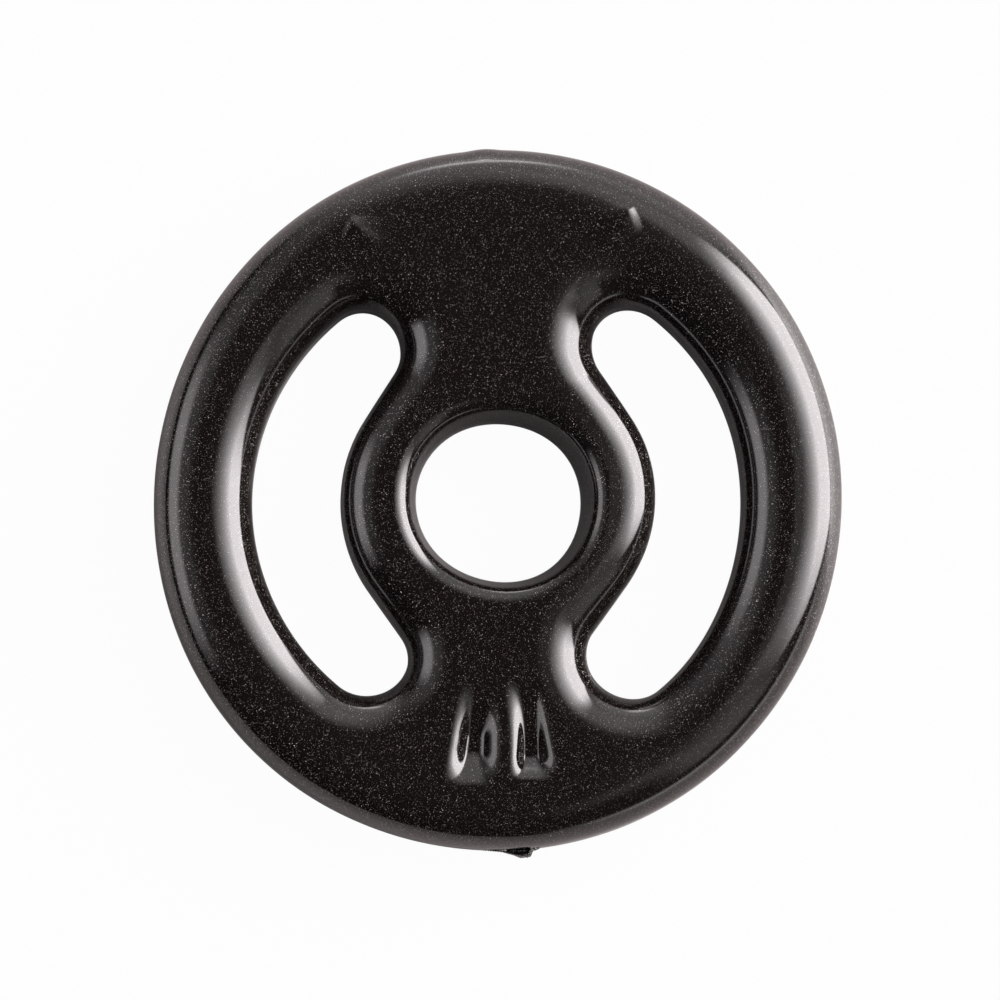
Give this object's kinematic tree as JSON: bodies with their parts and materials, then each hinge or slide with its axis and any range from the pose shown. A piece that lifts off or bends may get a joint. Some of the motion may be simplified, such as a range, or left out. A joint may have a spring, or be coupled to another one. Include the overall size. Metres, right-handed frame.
{
  "type": "weight plate",
  "caption": "Round coated weight plate with a central bar bore, a hand opening on each side, a full round rim, flat front and back faces and two soft pockets in the front.",
  "frame": {"origin": "middle of the flat back face, on the bore axis", "axes": "+Z along the bore out of the front face, +Y to the spot on the rim that the casting hung from while it was dipped, +X to the right seen from the front"},
  "size_m": [0.2126, 0.219, 0.0356],
  "materials": {
    "casting": "sand cast, unpainted, hidden inside the coat",
    "coat": "glossy black soft vinyl full of fine silver flecks",
    "dab": "glossy black soft vinyl full of fine silver flecks"
  },
  "bodies": {
    "root": {"iron_casting": "casting", "vinyl_coat": "coat", "hook_dab": "dab"}
  },
  "joints": []
}
